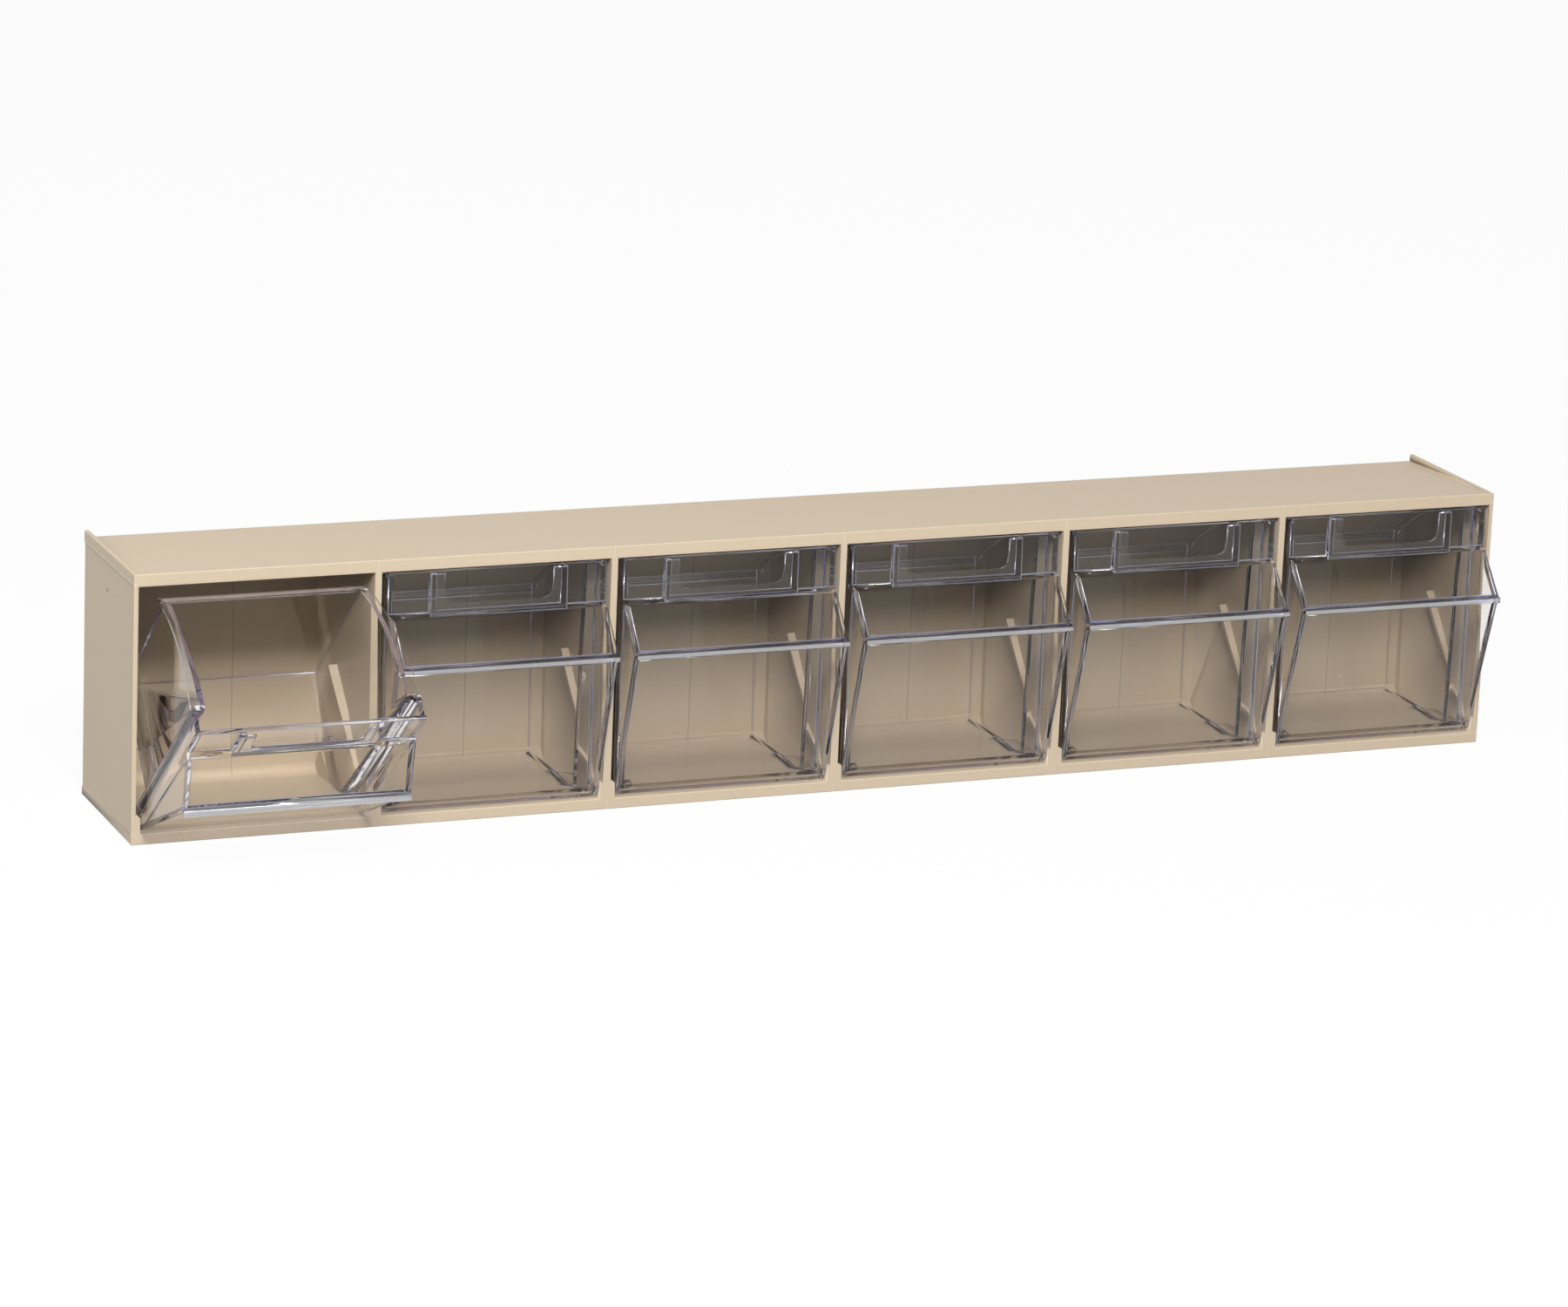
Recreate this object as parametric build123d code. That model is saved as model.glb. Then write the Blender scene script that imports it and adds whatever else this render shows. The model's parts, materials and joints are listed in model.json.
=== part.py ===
from build123d import *
import math
import os

os.makedirs("parts", exist_ok=True)

# Tip-out bin cabinet: one moulded cabinet with six clear one-piece bins that tip out on moulded
# hinge pins. Millimetres. X runs along the cabinet and +Z is up. The shapes are drawn with Y = 0 in
# the cabinet's front face and Y growing towards the back, and are exported with the origin in the
# middle of the base.

# Cabinet
LENGTH = 600.0
HEIGHT = 110.3
DEPTH = 72.6
BIN_COUNT = 6
END_WALL = 1.96
DIVIDER = 3.19
BACK_WALL = 2.0
TOP_BAND = 5.15
FRONT_LIP = 4.53
LIP_DEPTH = 4.0
LIP_RISE = 0.9
FLOOR_STEP = 0.35
FLOOR_STEP_Y = 16.0
TOP_EDGE = 1.5
TOP_FALL = 2.9
FLANGE = 2.3
REAR_TAPER = 0.5
CAVITY_DRAFT = 0.4
BACK_FILLET = 5.0
CORNER_FILLET = 1.0
FRONT_ROUND = 0.4
PANEL_SINK = 0.3
PANEL_MARGIN = 1.5
PANEL_BOTTOM = 4.0
PANEL_DROP = 5.0
UNDER_RECESS = 1.5
UNDER_RIM = 3.0
END_HOLE = (2.0, 1.5)
END_HOLE_Y = 39.6
END_HOLE_DROP = 16.6

# Hinge, drawn for a closed bin
PIVOT_Y = 4.1
PIVOT_Z = 8.4
TIP_ANGLE = 50.6
PIN_RADIUS = 2.0
RUNNING_CLEARANCE = 0.05
CHEEK = 1.8
CHEEK_DEPTH = 8.2
CHEEK_TOP = 2.6
SIDE_CLEARANCE = 0.36
PIN_END_CLEARANCE = 0.4
KNUCKLE_RADIUS = 3.5

# Stop ribs in the cabinet and stop lugs on the bins
RIB_INNER = 3.0
RIB_OUTER = 61.0
RIB_DROP = 1.1
RIB_SPREAD = 1.4
RIB_PROUD = (1.3, 3.6)
RIB_ROOT = 0.3
STOP_CLEARANCE = 0.3
LUG_THICK = 1.6
LUG_SIDE_GAP = 0.8
LUG_LENGTH = 19.0
LUG_TAPER = 6.0

# Bin
WALL = 2.0
PANEL_PROUD = 0.8
PANEL_CLEARANCE = 0.55
ARC_CLEARANCE = 2.4
BACK_CLEARANCE = 0.35
LEDGE_Z = 87.9
LEDGE_OUT = 2.6
LEDGE_FALL = 1.7
HOOD_OUT = 16.0
HOOD_Z = 70.1
LIP_OUT = 2.4
LIP_FALL = 0.7
LIP_THICK = 3.0
LIP_ROUND = 0.7
COLLAR_DEPTH = 11.0
COLLAR_CHAMFER = (2.0, 1.7)
JOG_REAR_Y = 10.6
JOG_SLOPE = 1.03
BODY_STEP = 5.53
SIDE_DRAFT = 0.0185
PLAN_TAPER = 0.01
GUSSET_TOP = (-1.9, 89.3)
GUSSET_FOOT = (0.3, 8.2)
GUSSET_SET = 0.8
FLOOR_RISE = 0.7
FLOOR_FRONT_Y = 8.8
BORDER = (6.2, 1.45)
REAR_BORDER = 5.8
REAR_FOOT_IN = 5.15
REAR_LEAN = 0.055
REAR_ROUND = 1.5
RIM_THICK = 1.6
RIM_HALF = (46.2, 42.3)
RIM_FRONT_Y = 10.0

# Label holder on the bin's front panel
HOLDER_HALF = 29.0
HOLDER_BORDER = 2.3
HOLDER_PROUD = 2.2
HOLDER_FOOT = 86.0
CARD_SLOT = 1.0
CARD_FOOT = 88.5
WINDOW_HALF = 22.8
WINDOW_FOOT = 91.6
WINDOW_ROUND = 4.0
HOLDER_TOP_GAP = 0.4

# Sizes that follow
BAY = (LENGTH - 2 * END_WALL - (BIN_COUNT - 1) * DIVIDER) / BIN_COUNT
PITCH = BAY + DIVIDER
CEILING = HEIGHT - TOP_BAND
FLOOR = FRONT_LIP - LIP_RISE
BACK = DEPTH - BACK_WALL
COLLAR_HALF = BAY / 2 - CHEEK - SIDE_CLEARANCE
PANEL_FRONT = -PANEL_PROUD
PANEL_TOP = CEILING - PANEL_CLEARANCE
ARC_RADIUS = CEILING - PIVOT_Z - ARC_CLEARANCE
UNDERSIDE = PIVOT_Z - KNUCKLE_RADIUS
BIN_FLOOR = UNDERSIDE + FLOOR_RISE
BODY_HALF = COLLAR_HALF - BODY_STEP
RIM_REAR_Y = BACK - BACK_CLEARANCE
REAR_FOOT_Y = RIM_REAR_Y - REAR_FOOT_IN
HOOD_FRONT = PANEL_FRONT - HOOD_OUT
OVER = 20.0


def yz_face(points):
    """Face in the side view, from (y, z) points."""
    return Plane.YZ * make_face(Polyline(*points, close=True))


def xy_prism(points, low, high):
    """Upright prism from (x, y) points."""
    return Pos(0, 0, low) * extrude(make_face(Polyline(*points, close=True)), high - low)


def box(x, y, z):
    """Block between pairs of limits on each axis."""
    size = (x[1] - x[0], y[1] - y[0], z[1] - z[0])
    centre = (sum(x) / 2, sum(y) / 2, sum(z) / 2)
    return Pos(*centre) * Box(*size)


def cylinder_x(radius, y, z, x):
    """Cylinder along X between a pair of limits."""
    plane = Plane(origin=(x[0], y, z), x_dir=(0, 1, 0), z_dir=(1, 0, 0))
    return extrude(plane * Circle(radius), x[1] - x[0])


def polar(radius, angle, drop=0.0):
    """Point about the pivot, at an angle up from the depth direction, set back square to it."""
    turn = math.radians(angle)
    y = PIVOT_Y + radius * math.cos(turn) + drop * math.sin(turn)
    z = PIVOT_Z + radius * math.sin(turn) - drop * math.cos(turn)
    return (y, z)


def bay_centres():
    """Middle of each compartment along X."""
    return [(i - (BIN_COUNT - 1) / 2) * PITCH for i in range(BIN_COUNT)]


def bay_cavity():
    """Hollow of one compartment: lip, stepped floor, rounded back corners, walls drawn to the front."""
    floor = FLOOR - FLOOR_STEP
    points = [
        (0, FRONT_LIP),
        (LIP_DEPTH, FRONT_LIP),
        (LIP_DEPTH, FLOOR),
        (FLOOR_STEP_Y, FLOOR),
        (FLOOR_STEP_Y, floor),
        (BACK, floor),
        (BACK, CEILING - CAVITY_DRAFT),
        (0, CEILING),
    ]
    side = make_face(Polyline(*points, close=True))
    back_corners = side.vertices().sort_by(Axis.X)[-2:].sort_by(Axis.Y)
    side = fillet(back_corners[0], BACK_FILLET)
    side = fillet(side.vertices().sort_by(Axis.Y)[-2:].sort_by(Axis.X)[-1], CORNER_FILLET)
    rear = BAY / 2 - CAVITY_DRAFT
    plan = [(-BAY / 2, 0), (BAY / 2, 0), (rear, BACK), (-rear, BACK)]
    return extrude(Plane.YZ * side, BAY, both=True) & xy_prism(plan, 0, HEIGHT)


def hinge_cheek():
    """Hinge cheek of the right-hand side, with its blind socket, in a compartment at X = 0."""
    inner = BAY / 2 - CHEEK
    cheek = box((inner, BAY / 2), (0, CHEEK_DEPTH), (FLOOR - 0.1, PIVOT_Z + CHEEK_TOP))
    rear_edge = cheek.edges().filter_by(Axis.X).sort_by(Axis.Y)[-2:].sort_by(Axis.Z)[-1]
    cheek = fillet(rear_edge, CHEEK_TOP)
    socket = PIN_RADIUS + RUNNING_CLEARANCE
    return cheek - cylinder_x(socket, PIVOT_Y, PIVOT_Z, (inner - 1, BAY / 2))


def stop_rib():
    """Stop rib of the right-hand wall: a wedge that stands out more towards its upper end."""
    side = [
        polar(RIB_INNER, TIP_ANGLE, RIB_DROP),
        polar(RIB_OUTER, TIP_ANGLE, RIB_DROP),
        polar(RIB_OUTER, TIP_ANGLE, -RIB_SPREAD),
        polar(RIB_INNER, TIP_ANGLE),
    ]
    root = BAY / 2 + RIB_ROOT
    along = [
        (RIB_INNER - 1, root),
        (RIB_OUTER + 1, root),
        (RIB_OUTER + 1, BAY / 2 - RIB_PROUD[1]),
        (RIB_INNER - 1, BAY / 2 - RIB_PROUD[0]),
    ]
    turn = math.radians(TIP_ANGLE)
    radial = Plane(
        origin=(0, PIVOT_Y, PIVOT_Z),
        x_dir=(0, math.cos(turn), math.sin(turn)),
        z_dir=(0, math.sin(turn), -math.cos(turn)),
    )
    slab = extrude(radial * make_face(Polyline(*along, close=True)), OVER, both=True)
    return extrude(yz_face(side), root) & slab


def end_panel():
    """Cut for the slightly sunk field of the right-hand end face."""
    outer = LENGTH / 2 + 1
    front = LENGTH / 2 - PANEL_SINK - REAR_TAPER * PANEL_MARGIN / DEPTH
    rear = LENGTH / 2 - PANEL_SINK - REAR_TAPER
    points = [(front, PANEL_MARGIN), (rear, DEPTH), (outer, DEPTH), (outer, PANEL_MARGIN)]
    return xy_prism(points, PANEL_BOTTOM, HEIGHT - PANEL_DROP)


def end_hole():
    """Cut for the small hole through the right-hand end wall."""
    y = (END_HOLE_Y - END_HOLE[0] / 2, END_HOLE_Y + END_HOLE[0] / 2)
    z_mid = HEIGHT - END_HOLE_DROP
    z = (z_mid - END_HOLE[1] / 2, z_mid + END_HOLE[1] / 2)
    return box((LENGTH / 2 - END_WALL - 1, LENGTH / 2 + 1), y, z)


def mirrored(shape):
    """The shape with its mirror image across X = 0."""
    return [shape, mirror(shape, Plane.YZ)]


def build_cabinet():
    """The cabinet: a block with its compartments, underside and top cut, then ribs and cheeks."""
    half = LENGTH / 2
    plan = [(-half, 0), (half, 0), (half - REAR_TAPER, DEPTH), (REAR_TAPER - half, DEPTH)]
    cabinet = xy_prism(plan, 0, HEIGHT)
    outer_front = cabinet.edges().filter_by_position(Axis.Y, -0.01, 0.01)
    cabinet = fillet(outer_front, FRONT_ROUND)
    slope = [(TOP_EDGE, HEIGHT), (DEPTH, HEIGHT - TOP_FALL), (DEPTH, HEIGHT + 1)]
    cabinet -= extrude(yz_face(slope), half - FLANGE, both=True)
    cavity = bay_cavity()
    under = box((-BAY / 2, BAY / 2), (UNDER_RIM, DEPTH - UNDER_RIM), (-1, UNDER_RECESS))
    cabinet -= [Pos(x, 0, 0) * cavity for x in bay_centres()]
    cabinet -= [Pos(x, 0, 0) * under for x in bay_centres()]
    cabinet -= mirrored(end_panel())
    cabinet -= mirrored(end_hole())
    cheeks_and_ribs = mirrored(hinge_cheek()) + mirrored(stop_rib())
    fittings = [Pos(x, 0, 0) * piece for x in bay_centres() for piece in cheeks_and_ribs]
    return cabinet + fittings


def body_half(y):
    """Half width of the bin's body at depth y, at the top of its sloping border."""
    return BODY_HALF - PLAN_TAPER * (y - COLLAR_DEPTH)


def side_face(inset):
    """Side view of the bin, from the panel round the hood, knuckle and floor to the rear wall."""
    top = PANEL_TOP + OVER
    foot = (REAR_FOOT_Y, BIN_FLOOR + BORDER[1])
    low_front = (HOOD_FRONT, HOOD_Z - LIP_THICK)
    reach = math.hypot(PIVOT_Y - low_front[0], low_front[1] - PIVOT_Z)
    fall = math.atan2(low_front[1] - PIVOT_Z, low_front[0] - PIVOT_Y)
    touch = fall + math.acos(KNUCKLE_RADIUS / reach)
    start = (PIVOT_Y + KNUCKLE_RADIUS * math.cos(touch), PIVOT_Z + KNUCKLE_RADIUS * math.sin(touch))
    middle_turn = (touch + 1.5 * math.pi) / 2
    middle = (PIVOT_Y + KNUCKLE_RADIUS * math.cos(middle_turn),
              PIVOT_Z + KNUCKLE_RADIUS * math.sin(middle_turn))
    end = (PIVOT_Y, UNDERSIDE)
    outline = Polyline(
        end,
        (FLOOR_FRONT_Y, BIN_FLOOR),
        (REAR_FOOT_Y - REAR_BORDER, BIN_FLOOR),
        foot,
        (REAR_FOOT_Y + REAR_LEAN * (top - foot[1]), top),
        (PANEL_FRONT, top),
        (PANEL_FRONT, LEDGE_Z),
        (PANEL_FRONT - LEDGE_OUT, LEDGE_Z - LEDGE_FALL),
        (HOOD_FRONT, HOOD_Z),
        low_front,
        start,
    )
    face = make_face([outline, ThreePointArc(start, middle, end)])
    if inset:
        face = offset(face, -inset, kind=Kind.INTERSECTION)
    return Plane.YZ * face


def top_limit():
    """Side view of what stays below the arc about the pivot, with the panel standing above it."""
    disc = Pos(PIVOT_Y, PIVOT_Z) * Circle(ARC_RADIUS)
    strip = [(PANEL_FRONT, PIVOT_Z), (PANEL_FRONT + WALL, PIVOT_Z)]
    strip += [(PANEL_FRONT + WALL, PANEL_TOP), (PANEL_FRONT, PANEL_TOP)]
    return Plane.YZ * (disc + make_face(Polyline(*strip, close=True)))


def collar_block(inset, rear):
    """Full-width front part of the bin, with small chamfers along its bottom."""
    width, rise = COLLAR_CHAMFER
    points = [(COLLAR_HALF - width, UNDERSIDE), (COLLAR_HALF, UNDERSIDE + rise)]
    points.append((COLLAR_HALF, PANEL_TOP + OVER))
    points += [(-x, z) for x, z in reversed(points)]
    section = make_face(Polyline(*points, close=True))
    section = offset(section, -inset, kind=Kind.INTERSECTION) if inset else section
    return extrude(Plane.XZ.offset(-rear) * section, rear - HOOD_FRONT + 1)


def beyond(point, normal, inset):
    """Large block on the outer side of a plane that is set in from a point, square to the normal."""
    plane = Plane(origin=point, z_dir=normal).offset(-inset)
    return plane * Pos(0, 0, LENGTH / 2) * Box(LENGTH, LENGTH, LENGTH)


def body_block(inset):
    """Narrower rear part of the bin, drafted towards its floor and its rear wall."""
    block = box((-BAY / 2, BAY / 2), (COLLAR_DEPTH - WALL, DEPTH), (0, PANEL_TOP + OVER))
    shoulder = (BODY_HALF, COLLAR_DEPTH, BIN_FLOOR + BORDER[1])
    slope = BORDER[1] / BORDER[0]
    block -= mirrored(beyond(shoulder, (1, PLAN_TAPER, -SIDE_DRAFT), inset))
    return block - mirrored(beyond(shoulder, (slope, slope * PLAN_TAPER, -1), inset))


def front_hollow():
    """Hollow of the bin's front part, closing in to the body's width along a slant."""
    hollow = collar_block(WALL, BODY_HALF)
    meet = (body_half(JOG_REAR_Y) - WALL, JOG_REAR_Y, BIN_FLOOR + BORDER[1])
    return hollow - mirrored(beyond(meet, (JOG_SLOPE, 1, -JOG_SLOPE * SIDE_DRAFT), 0))


def bin_outside():
    """Outside form of the bin, with its upright rear corners slightly rounded."""
    form = collar_block(0, COLLAR_DEPTH) + body_block(0)
    form = form & extrude(side_face(0), COLLAR_HALF + 1, both=True)
    upright = [
        edge for edge in form.edges()
        if edge.bounding_box().min.Y > REAR_FOOT_Y - WALL
        and edge.bounding_box().size.Z > BAY / 2
    ]
    return fillet(upright, REAR_ROUND)


def bin_inside():
    """Hollow of the bin, open upwards, with the slanting jog behind the collar."""
    hollow = front_hollow() + body_block(WALL)
    return hollow & extrude(side_face(WALL), COLLAR_HALF + 1, both=True)


def rim_flange():
    """Flange round the open top, along the arc of the side walls and the top of the rear wall."""
    ring = Circle(ARC_RADIUS) - Circle(ARC_RADIUS - RIM_THICK)
    ring = extrude(Plane.YZ * (Pos(PIVOT_Y, PIVOT_Z) * ring), COLLAR_HALF, both=True)
    plan = [(RIM_HALF[0], RIM_FRONT_Y), (RIM_HALF[1], RIM_REAR_Y)]
    plan += [(-x, y) for x, y in reversed(plan)]
    return ring & xy_prism(plan, CEILING / 2, HEIGHT)


def gusset_pocket():
    """Cut that sets the right-hand gusset of the hood a little inside the collar's side."""
    front = [GUSSET_TOP, GUSSET_FOOT, (GUSSET_FOOT[0] - DEPTH, GUSSET_FOOT[1])]
    front.append((GUSSET_TOP[0] - DEPTH, GUSSET_TOP[1]))
    pocket = extrude(side_face(WALL), COLLAR_HALF + 1) & extrude(yz_face(front), COLLAR_HALF + 1)
    return pocket & box((COLLAR_HALF - GUSSET_SET, COLLAR_HALF + 1), (-DEPTH, DEPTH), (0, HEIGHT))


def pull_lip():
    """Finger lip along the lower edge of the hood."""
    points = [
        (HOOD_FRONT + WALL, HOOD_Z),
        (HOOD_FRONT, HOOD_Z),
        (HOOD_FRONT - LIP_OUT, HOOD_Z - LIP_FALL),
        (HOOD_FRONT - LIP_OUT, HOOD_Z - LIP_THICK),
        (HOOD_FRONT + WALL, HOOD_Z - LIP_THICK),
    ]
    lip = extrude(yz_face(points), COLLAR_HALF, both=True)
    front_edges = lip.edges().filter_by(Axis.X).sort_by(Axis.Y)[:2]
    return fillet(front_edges, LIP_ROUND)


def label_holder():
    """Shallow pocket on the panel: a border, a card slot behind a frame, and its open window."""
    front = PANEL_FRONT - HOLDER_PROUD
    top = PANEL_TOP - HOLDER_TOP_GAP
    holder = box((-HOLDER_HALF, HOLDER_HALF), (front, PANEL_FRONT + WALL / 2), (HOLDER_FOOT, top))
    card_half = HOLDER_HALF - HOLDER_BORDER
    slot = box((-card_half, card_half), (PANEL_FRONT - CARD_SLOT, PANEL_FRONT), (CARD_FOOT, top + 1))
    window = box((-WINDOW_HALF, WINDOW_HALF), (front - 1, PANEL_FRONT), (WINDOW_FOOT, top + OVER))
    window_foot = window.edges().filter_by(Axis.Y).sort_by(Axis.Z)[:2]
    return holder - slot - fillet(window_foot, WINDOW_ROUND)


def hinge_pin():
    """Moulded hinge pin of the right-hand side."""
    end = COLLAR_HALF + SIDE_CLEARANCE + CHEEK - PIN_END_CLEARANCE
    return cylinder_x(PIN_RADIUS, PIVOT_Y, PIVOT_Z, (COLLAR_HALF - WALL / 2, end))


def stop_lug():
    """Stop lug of the right-hand side: its flat top meets the rib when the bin is tipped."""
    top = PIVOT_Z - RIB_DROP - STOP_CLEARANCE
    front = COLLAR_DEPTH - WALL / 2
    outer = BAY / 2 - LUG_SIDE_GAP
    root = body_half(COLLAR_DEPTH + LUG_LENGTH + LUG_TAPER) - BORDER[0] * 3 / 4
    points = [
        (root, front),
        (outer, front),
        (outer, COLLAR_DEPTH + LUG_LENGTH),
        (outer - LUG_TAPER, COLLAR_DEPTH + LUG_LENGTH + LUG_TAPER),
        (root, COLLAR_DEPTH + LUG_LENGTH + LUG_TAPER),
    ]
    return xy_prism(points, top - LUG_THICK, top)


def build_bin():
    """One clear bin in its closed place in a compartment at X = 0."""
    limit = extrude(top_limit(), COLLAR_HALF + 1, both=True)
    solid = bin_outside() & limit
    solid += mirrored(stop_lug())
    solid += rim_flange()
    solid -= bin_inside()
    solid -= mirrored(gusset_pocket())
    solid += [pull_lip(), label_holder()]
    return solid + mirrored(hinge_pin())


def tipped(shape, angle):
    """The bin turned out about its hinge."""
    return Pos(0, PIVOT_Y, PIVOT_Z) * Rot(angle, 0, 0) * Pos(0, -PIVOT_Y, -PIVOT_Z) * shape


def save(name, shape):
    """Write one piece, moved from the front face to the middle of the base."""
    export_step(Pos(0, -DEPTH / 2, 0) * shape, f"parts/{name}.step")


save("cabinet", build_cabinet())
clear_bin = build_bin()
for number, x in enumerate(bay_centres(), start=1):
    angle = TIP_ANGLE if number == 1 else 0.0
    save(f"bin_{number}", Pos(x, 0, 0) * tipped(clear_bin, angle))
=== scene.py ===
import json
import math

import bmesh
import bpy
from mathutils import Matrix, Vector


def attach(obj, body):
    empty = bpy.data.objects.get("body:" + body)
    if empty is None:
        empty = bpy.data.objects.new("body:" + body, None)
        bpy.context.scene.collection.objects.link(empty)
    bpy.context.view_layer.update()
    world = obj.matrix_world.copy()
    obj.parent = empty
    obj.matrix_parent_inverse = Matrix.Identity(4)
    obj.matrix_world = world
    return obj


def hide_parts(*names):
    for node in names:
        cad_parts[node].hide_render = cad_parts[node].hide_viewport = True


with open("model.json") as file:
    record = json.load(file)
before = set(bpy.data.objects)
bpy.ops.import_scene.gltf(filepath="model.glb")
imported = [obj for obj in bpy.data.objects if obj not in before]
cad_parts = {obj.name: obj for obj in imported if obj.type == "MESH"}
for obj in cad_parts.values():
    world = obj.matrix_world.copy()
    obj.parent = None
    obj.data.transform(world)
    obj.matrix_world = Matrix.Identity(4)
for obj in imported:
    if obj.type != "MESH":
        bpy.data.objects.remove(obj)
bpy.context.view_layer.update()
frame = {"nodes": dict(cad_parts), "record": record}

# The picture: a long lens some two and a half metres off, to the left of the cabinet and above it.
# The place and the axes were worked out from the cabinet's edges in the photograph.
CAMERA_PLACE = Vector((-0.95576, -2.26029, 0.71890))
CAMERA_TURNS = (0.2665, -0.3965, 0.0421)
LENS = 140.53
CLEAR_BOUNCES = 64

tilt, swing, roll = CAMERA_TURNS
to_view = (
    Matrix.Rotation(roll, 3, "Z")
    @ Matrix.Rotation(tilt, 3, "X")
    @ Matrix.Rotation(swing, 3, "Y")
    @ Matrix(((1, 0, 0), (0, 0, -1), (0, 1, 0)))
)
camera_axes = Matrix((to_view[0], -to_view[1], -to_view[2])).transposed()
camera_data = bpy.data.cameras.new("studio_camera")
camera_data.sensor_width = 36
camera_data.lens = LENS
camera_data.clip_end = 50
camera = bpy.data.objects.new("studio_camera", camera_data)
camera.matrix_world = Matrix.Translation(CAMERA_PLACE) @ camera_axes.to_4x4()
bpy.context.scene.collection.objects.link(camera)
bpy.context.scene.camera = camera
bpy.context.scene.view_settings.view_transform = "Standard"
cycles = bpy.context.scene.cycles
cycles.max_bounces = CLEAR_BOUNCES
cycles.transmission_bounces = CLEAR_BOUNCES
cycles.glossy_bounces = CLEAR_BOUNCES
cycles.diffuse_bounces = 1
cycles.transparent_max_bounces = 32


class Link:
    """A socket of a material's nodes: sums on it add their Math nodes."""

    def __init__(self, tree, socket):
        self.tree = tree
        self.socket = socket

    def node(self, kind, settings=None, **sockets):
        """Add a node, set it, feed its sockets (i0 is the first), and give its first output."""
        made = self.tree.nodes.new(kind)
        for name, value in (settings or {}).items():
            setattr(made, name, value)
        for name, value in sockets.items():
            numbered = name[0] == "i" and name[1:].isdigit()
            key = int(name[1:]) if numbered else name.replace("_", " ")
            if isinstance(value, Link):
                self.tree.links.new(value.socket, made.inputs[key])
            else:
                made.inputs[key].default_value = value
        return Link(self.tree, made.outputs[0])

    def output(self, name):
        """Another output of the same node."""
        return Link(self.tree, self.socket.node.outputs[name])

    def maths(self, operation, first, second=0.0, third=0.0):
        return self.node("ShaderNodeMath", {"operation": operation}, i0=first, i1=second, i2=third)

    def __add__(self, other):
        return self.maths("ADD", self, other)

    def __sub__(self, other):
        return self.maths("SUBTRACT", self, other)

    def __rsub__(self, other):
        return self.maths("SUBTRACT", other, self)

    def __mul__(self, other):
        return self.maths("MULTIPLY", self, other)

    __radd__ = __add__
    __rmul__ = __mul__


def new_material(name):
    """A material with an empty tree: the start of its node chain and its output node."""
    material = bpy.data.materials.new(name)
    material.use_nodes = True
    material.node_tree.nodes.clear()
    end = material.node_tree.nodes.new("ShaderNodeOutputMaterial")
    return material, Link(material.node_tree, None), end


# The studio: a white sweep that the cabinet stands on, in a white room with a dim ceiling. A soft
# box in front and to the left gives most of the light, and a weak one lights the left end. The
# object itself is lit by a darker floor and room than the ones that the camera sees.
FLOOR_HALF = 6.0
FLOOR_GREY = (0.28, 0.28, 0.28, 1)
FLOOR_PALE = (0.90, 0.90, 0.90, 1)
FLOOR_GLOW = 0.95
ROOM_LIGHT = 0.10
CEILING_LIGHT = 0.32
CEILING_FROM = 0.45
CEILING_FULL = 0.70
LIGHTS_AIM = Vector((0, 0, 0.05))


def seen_clearly(tree):
    """1 for what the camera sees itself, in a reflection or through the clear plastic."""
    rays = tree.node("ShaderNodeLightPath")
    seen = tree.maths("MAXIMUM", rays.output("Is Camera Ray"), rays.output("Is Glossy Ray"))
    seen = tree.maths("MAXIMUM", seen, rays.output("Is Transmission Ray"))
    return seen * tree.maths("LESS_THAN", rays.output("Diffuse Depth"), 0.5)


white_floor, tree, end = new_material("white_sweep")
seen = seen_clearly(tree)
paper = tree.node("ShaderNodeBsdfDiffuse", Color=FLOOR_GREY)
pale = tree.node("ShaderNodeBsdfDiffuse", Color=FLOOR_PALE)
glow = tree.node("ShaderNodeEmission", Color=(1, 1, 1, 1), Strength=1.0)
lit = tree.node("ShaderNodeMixShader", i0=FLOOR_GLOW, i1=pale, i2=glow)
shown = tree.node("ShaderNodeMixShader", i0=seen, i1=paper, i2=lit)
tree.tree.links.new(shown.socket, end.inputs["Surface"])

floor_mesh = bpy.data.meshes.new("sweep")
corners = [(x, y, 0.0) for x, y in ((-1, -1), (1, -1), (1, 1), (-1, 1))]
floor_mesh.from_pydata([Vector(c) * FLOOR_HALF for c in corners], [], [(0, 1, 2, 3)])
floor = bpy.data.objects.new("sweep", floor_mesh)
floor_mesh.materials.append(white_floor)
bpy.context.scene.collection.objects.link(floor)

world = bpy.data.worlds.new("white_room")
bpy.context.scene.world = world
world.use_nodes = True
world.node_tree.nodes.clear()
tree = Link(world.node_tree, None)
seen = seen_clearly(tree)
toward = tree.node("ShaderNodeTexCoord").output("Generated")
height = tree.node("ShaderNodeSeparateXYZ", Vector=toward).output("Z")
ceiling = tree.node("ShaderNodeMapRange", i0=height, i1=CEILING_FROM, i2=CEILING_FULL)
white = 1 - ceiling * (1 - CEILING_LIGHT)
strength = seen * (white - ROOM_LIGHT) + ROOM_LIGHT
room = tree.node("ShaderNodeBackground", Color=(1, 1, 1, 1), Strength=strength)
end = world.node_tree.nodes.new("ShaderNodeOutputWorld")
world.node_tree.links.new(room.socket, end.inputs["Surface"])


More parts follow.
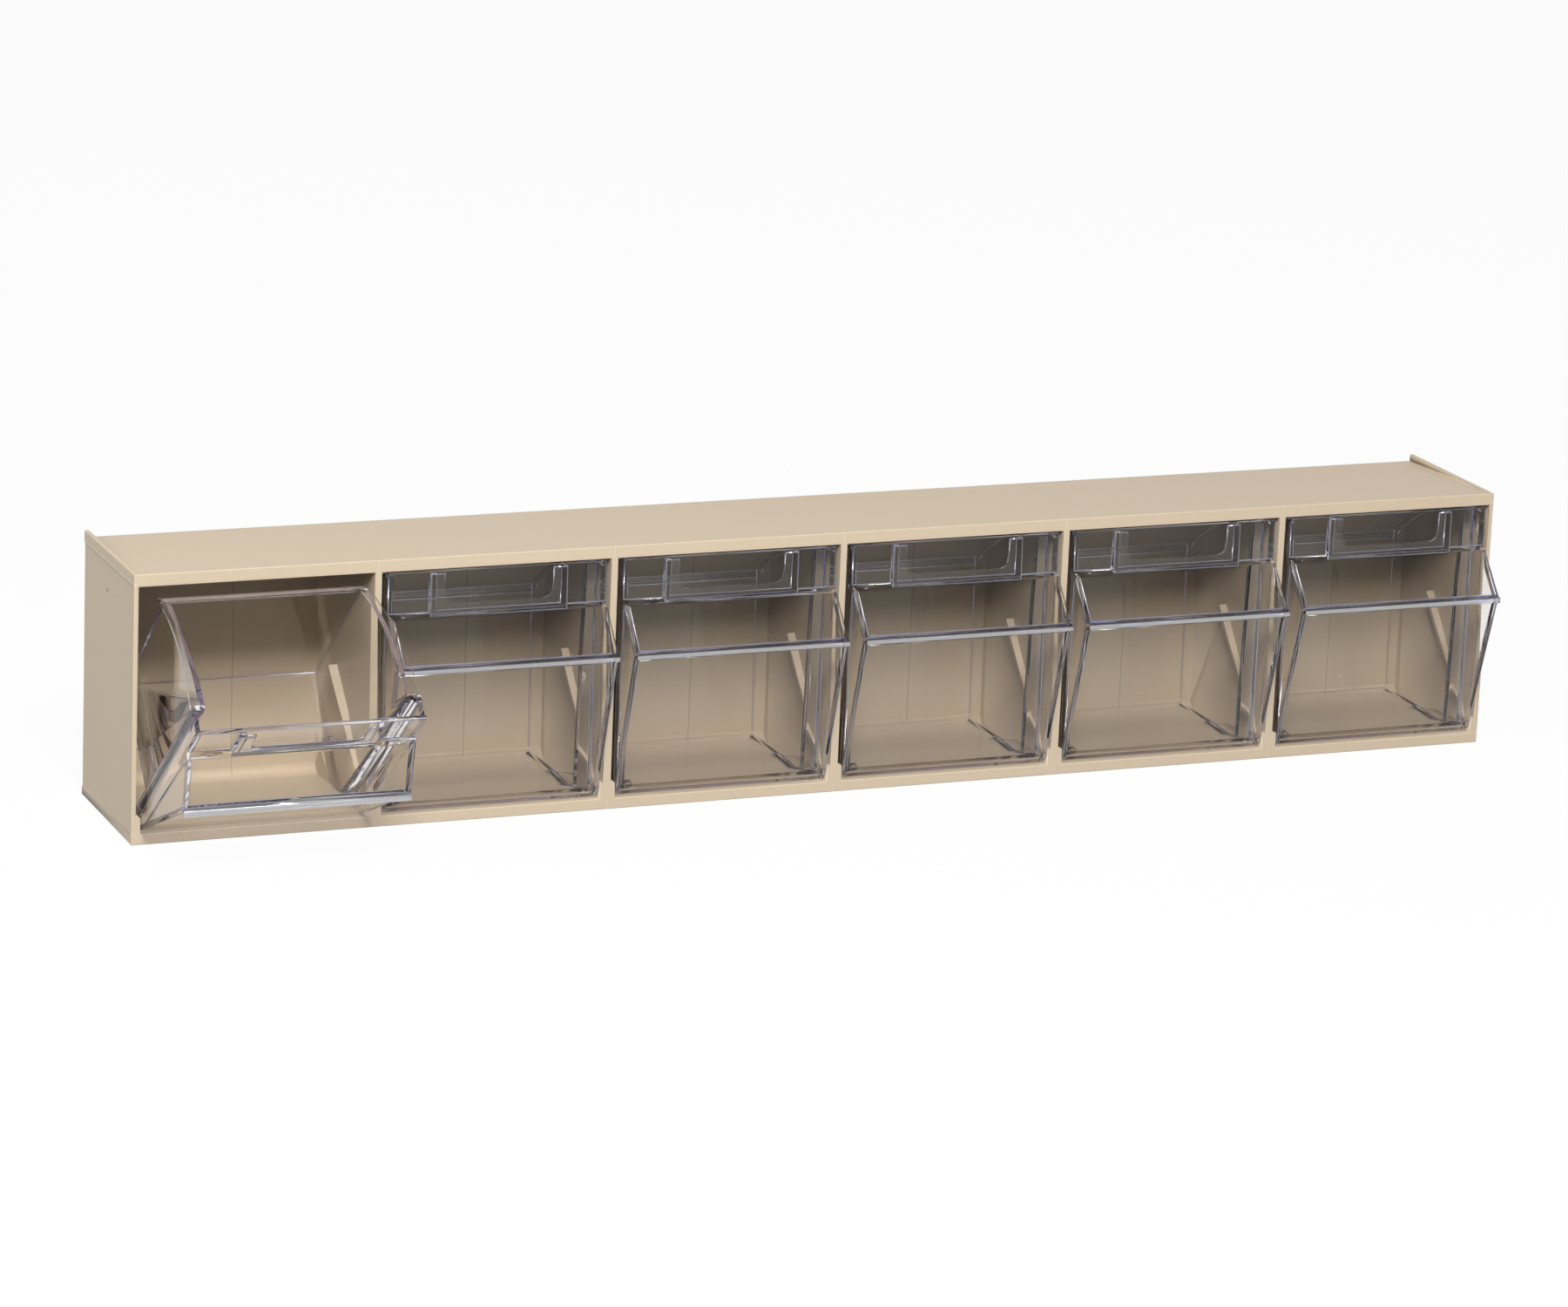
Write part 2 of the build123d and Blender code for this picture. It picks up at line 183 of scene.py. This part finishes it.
def soft_box(name, turn, rise, distance, size, light):
    """A square soft light aimed at the cabinet, with its angles and the light that it throws."""
    lamp = bpy.data.lights.new(name, "AREA")
    lamp.shape = "SQUARE"
    lamp.size = size
    lamp.energy = light * (math.pi * distance) ** 2
    box = bpy.data.objects.new(name, lamp)
    turn = math.radians(turn)
    rise = math.radians(rise)
    away = Vector((
        math.sin(turn) * math.cos(rise),
        -math.cos(turn) * math.cos(rise),
        math.sin(rise),
    ))
    facing = away.to_track_quat("Z", "Y").to_matrix().to_4x4()
    box.matrix_world = Matrix.Translation(LIGHTS_AIM + away * distance) @ facing
    bpy.context.scene.collection.objects.link(box)


soft_box("key_light", turn=-18, rise=41, distance=2.4, size=0.7, light=1.16)
soft_box("end_light", turn=-80, rise=20, distance=2.4, size=1.0, light=0.28)


# The cabinet: one injection moulding in an opaque beige plastic, with slightly rounded edges. It
# has a fine grain, faint streaks where the plastic flowed, lighter witness lines of the mould at
# each divider, and a thin dark line down the back of every compartment. Thin light lines along the
# top and bottom of each end are painted highlights, standing in for light caught on the edges
# there.
BEIGE = (0.665, 0.545, 0.400, 1)
BEIGE_DEEP = (0.625, 0.508, 0.366, 1)
# A lighter beige for the witness lines and for the painted highlights along the ends.
BEIGE_SEAM_AND_HIGHLIGHT = (0.80, 0.70, 0.56, 1)
BEIGE_DARK = (0.22, 0.165, 0.115, 1)
PITCH = 0.099878
WITNESS_WIDE = 0.00022
# How far the witness lines and the painted highlights go toward the lighter beige.
SEAM_AND_HIGHLIGHT_SHARE = 0.6
BACK_LINE_AT = 0.012
BACK_LINE_WIDE = 0.0003
BACK_LINE_SHARE = 0.45
BACK_FROM = 0.0325
BACK_TO = 0.0350
FRONT_TO = -0.0358
END_FROM = 0.2985
BAND_FOOT = 0.0048
BAND_HEAD = 0.1054
INNER_TO = 0.25
# Heights and width of the painted highlight lines along the top and bottom of each end.
RIM_FOOT = 0.0040
RIM_HEAD = 0.1061
RIM_HIGHLIGHT_WIDE = 0.00035

beige_plastic, tree, end = new_material("beige_plastic")
place = tree.node("ShaderNodeTexCoord").output("Object")
apart = tree.node("ShaderNodeSeparateXYZ", Vector=place)
across, inward, upward = apart, apart.output("Y"), apart.output("Z")


def thin_line(tree, distance, width):
    """1 along a line and 0 beside it, from the distance to it."""
    away = tree.maths("ABSOLUTE", distance)
    return tree.node("ShaderNodeMapRange", i0=away, i1=width / 2, i2=width, i3=1.0, i4=0.0)


def each_bay(tree, across, start):
    """How far a place is from the nearest of the lines that repeat from bay to bay."""
    return tree.maths("WRAP", across - start, PITCH / 2, -PITCH / 2)


on_front = tree.maths("LESS_THAN", inward, FRONT_TO)
in_band = tree.maths("LESS_THAN", upward, BAND_FOOT)
in_band = in_band + tree.maths("GREATER_THAN", upward, BAND_HEAD)
inner_bays = tree.maths("LESS_THAN", tree.maths("ABSOLUTE", across), INNER_TO)
witness = thin_line(tree, each_bay(tree, across, 0.0), WITNESS_WIDE)
witness = witness * on_front * in_band * inner_bays
on_end = tree.maths("GREATER_THAN", tree.maths("ABSOLUTE", across), END_FROM)
# Painted highlights: light lines along the top and bottom of each end, where light catches the
# edges.
painted_rim_highlight = thin_line(tree, upward - RIM_HEAD, RIM_HIGHLIGHT_WIDE) + thin_line(tree, upward - RIM_FOOT, RIM_HIGHLIGHT_WIDE)
seams_and_highlights = tree.maths("MINIMUM", witness + painted_rim_highlight * on_end, 1.0)
on_back = tree.maths("GREATER_THAN", inward, BACK_FROM) * tree.maths("LESS_THAN", inward, BACK_TO)
mid_bay = PITCH / 2 + BACK_LINE_AT
dark_line = thin_line(tree, each_bay(tree, across, mid_bay), BACK_LINE_WIDE)
dark_line = dark_line * on_back * BACK_LINE_SHARE

cloud = tree.node("ShaderNodeTexNoise", Vector=place, Scale=14.0, Detail=4.0)
drawn = tree.node(
    "ShaderNodeVectorMath", {"operation": "MULTIPLY"}, i0=place, i1=(1.0, 1.0, 0.04)
)
streaks = tree.node("ShaderNodeTexNoise", Vector=drawn, Scale=700.0, Detail=2.0)
grain = tree.node("ShaderNodeTexNoise", Vector=place, Scale=2200.0, Detail=2.0)
tone = cloud * 0.5 + streaks * 0.5
colour = tree.node("ShaderNodeMix", {"data_type": "RGBA"}, i0=tone, i6=BEIGE_DEEP, i7=BEIGE)
colour = tree.node(
    "ShaderNodeMix", {"data_type": "RGBA"}, i0=dark_line, i6=colour.output(2), i7=BEIGE_DARK
)
# The witness lines and the painted highlights are mixed in as the lighter beige.
seam_and_highlight_share = seams_and_highlights * SEAM_AND_HIGHLIGHT_SHARE
colour = tree.node(
    "ShaderNodeMix", {"data_type": "RGBA"}, i0=seam_and_highlight_share, i6=colour.output(2), i7=BEIGE_SEAM_AND_HIGHLIGHT
)
fine = tree.node("ShaderNodeBump", Height=grain, Strength=0.25, Distance=0.00008)
bump = tree.node("ShaderNodeBump", Height=seams_and_highlights, Strength=0.6, Distance=0.0001, Normal=fine)
rough = 0.44 + streaks * 0.08
moulded = tree.node(
    "ShaderNodeBsdfPrincipled", Base_Color=colour.output(2), Roughness=rough, IOR=1.42, Normal=bump
)
tree.tree.links.new(moulded.socket, end.inputs["Surface"])


EDGE_ROUND = 0.0004
SHARP_FROM = math.radians(28)
FLAT_UNDER = math.radians(0.5)
SHORTEST_EDGE = 0.005
TIGHTEST_ROOM = 0.0002
CORNER_ROOM = 0.00012
ROOM_SHARE = 0.42
BESIDE_SHARE = 0.02
SAME_PLACE = 1e-6


def room_beside(edge):
    """How far it is across the edge's faces to the nearest edge that runs beside it."""
    start, end = (vert.co for vert in edge.verts)
    along = (end - start).normalized()
    length = (end - start).length
    room = math.inf
    for face in edge.link_faces:
        inward = face.normal.cross(along)
        for other in face.edges:
            ends = [vert.co - start for vert in other.verts]
            if set(other.verts) & set(edge.verts):
                across = abs((ends[1] - ends[0]).dot(inward))
                if other != edge and across > CORNER_ROOM:
                    room = min(room, across)
                continue
            near, far = sorted(point.dot(along) for point in ends)
            if min(far, length) - max(near, 0) > BESIDE_SHARE * length:
                away = min(abs(point.dot(inward)) for point in ends)
                room = min(room, away) if away > SAME_PLACE else room
    return room


def rounded_copy(node, name, width, material, edge_finish=-1):
    """A merged copy of a node with its long sharp edges rounded, which stands in its place."""
    shape = bmesh.new()
    shape.from_mesh(frame["nodes"][node].data)
    bmesh.ops.remove_doubles(shape, verts=shape.verts, dist=SAME_PLACE)
    bmesh.ops.dissolve_limit(shape, angle_limit=FLAT_UNDER, verts=shape.verts, edges=shape.edges)
    weight = shape.edges.layers.float.new("bevel_weight_edge")
    for face in shape.faces:
        face.smooth = True
    for edge in shape.edges:
        if edge.calc_face_angle() > SHARP_FROM:
            room = room_beside(edge)
            if edge.calc_length() > SHORTEST_EDGE and room > TIGHTEST_ROOM:
                edge[weight] = min(1, ROOM_SHARE * room / width)
            else:
                edge.smooth = False
    mesh = bpy.data.meshes.new(name)
    shape.to_mesh(mesh)
    shape.free()
    mesh.materials.append(material)
    piece = bpy.data.objects.new(name, mesh)
    bpy.context.scene.collection.objects.link(piece)
    edges = piece.modifiers.new("edges", "BEVEL")
    edges.width = width
    edges.segments = 3
    edges.limit_method = "WEIGHT"
    edges.use_clamp_overlap = False
    edges.loop_slide = False
    edges.material = edge_finish
    facing = piece.modifiers.new("facing", "WEIGHTED_NORMAL")
    facing.keep_sharp = True
    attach(piece, node)
    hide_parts(node)
    return piece


rounded_copy("cabinet", "cabinet_moulding", EDGE_ROUND, beige_plastic)


# The six bins: each is one moulding in a clear crystal plastic, which looks bluish violet where it
# is seen through its edges. The pull lip and the rounded edges are less polished. Each bin snaps
# into the cabinet by its two moulded pins and turns on them.
BIN_COUNT = 6
CLEAR = (0.985, 0.978, 0.962, 1)
WINDOW = (0.90, 0.90, 0.90, 1)
EDGE_TINT = (0.69, 0.71, 0.93, 1)
EDGE_DEPTH = 22.0
CORNER_ROUND = 0.00045
REFRACTION = 1.57
SHEEN_FALL = 1.35
LIP_ROUGH = 0.12
LIP_SHEEN = 0.42
LIP_FINISH = 1
EDGE_ROUGH = 0.20
EDGE_SHEEN = 0.28
EDGE_CLEAR = (0.85, 0.86, 0.97, 1)
EDGE_FINISH = 2
LIP_FROM = -0.0535
LIP_FOOT = 0.0677
LIP_HEAD = 0.0702


def clear_finish(name, roughness=0.0, sheen=None, colour=CLEAR):
    """The clear plastic with a polished surface, or a rougher one with a fixed share of sheen."""
    material, tree, end = new_material(name)
    rays = tree.node("ShaderNodeLightPath")
    finish = {"Color": colour, "Roughness": roughness}
    if sheen is None:
        share = tree.maths("POWER", tree.node("ShaderNodeFresnel", IOR=REFRACTION), SHEEN_FALL)
    else:
        share = sheen
        place = tree.node("ShaderNodeTexCoord").output("Object")
        frost = tree.node("ShaderNodeTexNoise", Vector=place, Scale=900.0, Detail=2.0)
        bump = tree.node("ShaderNodeBump", Height=frost, Strength=0.3, Distance=0.0001)
        finish["Normal"] = bump
    bent = tree.node("ShaderNodeBsdfRefraction", IOR=REFRACTION, **finish)
    shine = tree.node("ShaderNodeBsdfGlossy", **finish)
    crystal = tree.node("ShaderNodeMixShader", i0=share, i1=bent, i2=shine)
    window = tree.node("ShaderNodeBsdfTransparent", Color=WINDOW)
    lit = tree.node("ShaderNodeMixShader", i0=rays.output("Is Shadow Ray"), i1=crystal, i2=window)
    shown = tree.node("ShaderNodeMixShader", i0=rays.output("Is Diffuse Ray"), i1=lit, i2=window)
    tree.tree.links.new(shown.socket, end.inputs["Surface"])
    depth = tree.node("ShaderNodeVolumeAbsorption", Color=EDGE_TINT, Density=EDGE_DEPTH)
    tree.tree.links.new(depth.socket, end.inputs["Volume"])
    return material


clear_plastic = clear_finish("clear_plastic")
satin_lip = clear_finish("satin_lip", LIP_ROUGH, LIP_SHEEN)
satin_edge = clear_finish("satin_edge", EDGE_ROUGH, EDGE_SHEEN, EDGE_CLEAR)

joints = {joint["child"]: joint for joint in frame["record"]["behaviour"]["joints"]}
for number in range(1, BIN_COUNT + 1):
    bin_name = f"bin_{number}"
    piece = rounded_copy(
        bin_name, f"clear_{bin_name}", CORNER_ROUND, clear_plastic, EDGE_FINISH
    )
    piece.data.materials.append(satin_lip)
    piece.data.materials.append(satin_edge)
    joint = joints[bin_name]
    hinge = Vector(joint["pos_m"])
    closed = Matrix.Rotation(math.radians(joint["range_deg"][0]), 3, "X")
    for face in piece.data.polygons:
        spot = closed @ (face.center - hinge) + hinge
        if spot.y < LIP_FROM and LIP_FOOT < spot.z < LIP_HEAD:
            face.material_index = LIP_FINISH
